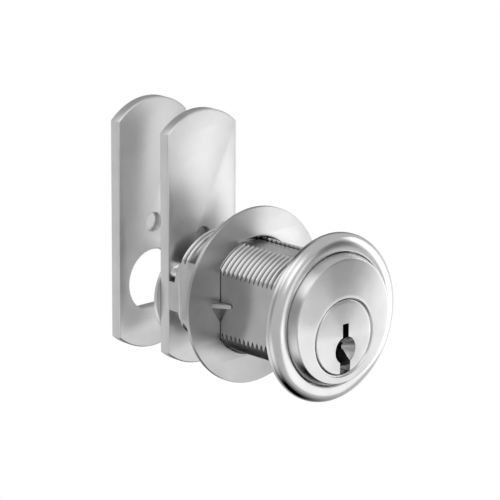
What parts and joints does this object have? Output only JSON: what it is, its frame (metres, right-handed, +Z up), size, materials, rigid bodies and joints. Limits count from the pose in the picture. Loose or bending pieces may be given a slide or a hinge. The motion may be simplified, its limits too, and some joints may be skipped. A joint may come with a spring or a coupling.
{
  "type": "pin tumbler cam lock",
  "caption": "Pin tumbler cam lock: domed head with keyway, trim ring, threaded barrel with side flats, spur washer, mounting nut, flat cam, and a spare cam behind.",
  "frame": {"origin": "on the barrel's axis, in the plane of the door's face, which the trim ring's rear face rests on", "axes": "+Y along the barrel from the key face to the cams, +Z up with the cams, +X to the right seen from the key face"},
  "size_m": [0.0335, 0.0549, 0.0495],
  "materials": {
    "satin_nickel": "satin nickel plate, brushed round the axis",
    "polished_nickel": "soft polished nickel plate",
    "plated_steel": "stamped and nickel plated",
    "plated_washer": "stamped washer, zinc plated",
    "nickel_nut": "turned and plated",
    "bright_steel": "bright plated",
    "spring_steel": "drawn wire",
    "pin_brass": "turned brass"
  },
  "bodies": {
    "housing": {"housing": "satin_nickel", "chamber_cover": "satin_nickel", "pin_spring_1": "spring_steel", "pin_spring_2": "spring_steel", "pin_spring_3": "spring_steel", "pin_spring_4": "spring_steel", "pin_spring_5": "spring_steel", "spare_cam": "plated_steel"},
    "trim_ring": {"trim_ring": "polished_nickel"},
    "plug_set": {"plug": "satin_nickel", "fitted_cam": "plated_steel", "stop_pin": "bright_steel", "cam_washer": "bright_steel", "cam_lock_washer": "spring_steel", "cam_screw": "bright_steel"},
    "spur_washer": {"spur_washer": "plated_washer"},
    "mounting_nut": {"mounting_nut": "nickel_nut"},
    "driver_pin_1": {"driver_pin_1": "pin_brass"},
    "driver_pin_2": {"driver_pin_2": "pin_brass"},
    "driver_pin_3": {"driver_pin_3": "pin_brass"},
    "driver_pin_4": {"driver_pin_4": "pin_brass"},
    "driver_pin_5": {"driver_pin_5": "pin_brass"},
    "key_pin_1": {"key_pin_1": "pin_brass"},
    "key_pin_2": {"key_pin_2": "pin_brass"},
    "key_pin_3": {"key_pin_3": "pin_brass"},
    "key_pin_4": {"key_pin_4": "pin_brass"},
    "key_pin_5": {"key_pin_5": "pin_brass"}
  },
  "joints": [
    {"name": "plug_turn", "type": "hinge", "parent": "housing", "child": "plug_set", "pos_m": [0, 0, -0.00298], "axis": [0, 1, 0], "range_deg": [0, 90]},
    {"name": "trim_ring_spin", "type": "hinge", "parent": "housing", "child": "trim_ring", "pos_m": [0, 0, 0], "axis": [0, 1, 0], "continuous": true},
    {"name": "clamp_slide", "type": "slide", "parent": "housing", "child": "spur_washer", "axis": [0, 1, 0], "range_m": [-0.0156, 0.005]},
    {"name": "nut_spin", "type": "hinge", "parent": "spur_washer", "child": "mounting_nut", "pos_m": [0, 0, 0], "axis": [0, 1, 0], "range_deg": [-4865, 1560]},
    {"name": "driver_pin_1_lift", "type": "slide", "parent": "housing", "child": "driver_pin_1", "axis": [0, 0, 1], "range_m": [0, 0.0012], "stiffness_N_per_m": 120, "springref_m": -0.002, "deforming": ["pin_spring_1"]},
    {"name": "driver_pin_2_lift", "type": "slide", "parent": "housing", "child": "driver_pin_2", "axis": [0, 0, 1], "range_m": [0, 0.0012], "stiffness_N_per_m": 120, "springref_m": -0.002, "deforming": ["pin_spring_2"]},
    {"name": "driver_pin_3_lift", "type": "slide", "parent": "housing", "child": "driver_pin_3", "axis": [0, 0, 1], "range_m": [0, 0.0012], "stiffness_N_per_m": 120, "springref_m": -0.002, "deforming": ["pin_spring_3"]},
    {"name": "driver_pin_4_lift", "type": "slide", "parent": "housing", "child": "driver_pin_4", "axis": [0, 0, 1], "range_m": [0, 0.0012], "stiffness_N_per_m": 120, "springref_m": -0.002, "deforming": ["pin_spring_4"]},
    {"name": "driver_pin_5_lift", "type": "slide", "parent": "housing", "child": "driver_pin_5", "axis": [0, 0, 1], "range_m": [0, 0.0012], "stiffness_N_per_m": 120, "springref_m": -0.002, "deforming": ["pin_spring_5"]},
    {"name": "key_pin_1_lift", "type": "slide", "parent": "plug_set", "child": "key_pin_1", "axis": [0, 0, 1], "range_m": [-0.002, 0]},
    {"name": "key_pin_2_lift", "type": "slide", "parent": "plug_set", "child": "key_pin_2", "axis": [0, 0, 1], "range_m": [-0.001, 0]},
    {"name": "key_pin_3_lift", "type": "slide", "parent": "plug_set", "child": "key_pin_3", "axis": [0, 0, 1], "range_m": [-0.0015, 0]},
    {"name": "key_pin_4_lift", "type": "slide", "parent": "plug_set", "child": "key_pin_4", "axis": [0, 0, 1], "range_m": [-0.0005, 0]},
    {"name": "key_pin_5_lift", "type": "slide", "parent": "plug_set", "child": "key_pin_5", "axis": [0, 0, 1], "range_m": [-0.0017, 0]}
  ],
  "couplings": [
    {"joint": "nut_spin", "follows": "clamp_slide", "rad_per_m": 5442.1}
  ]
}
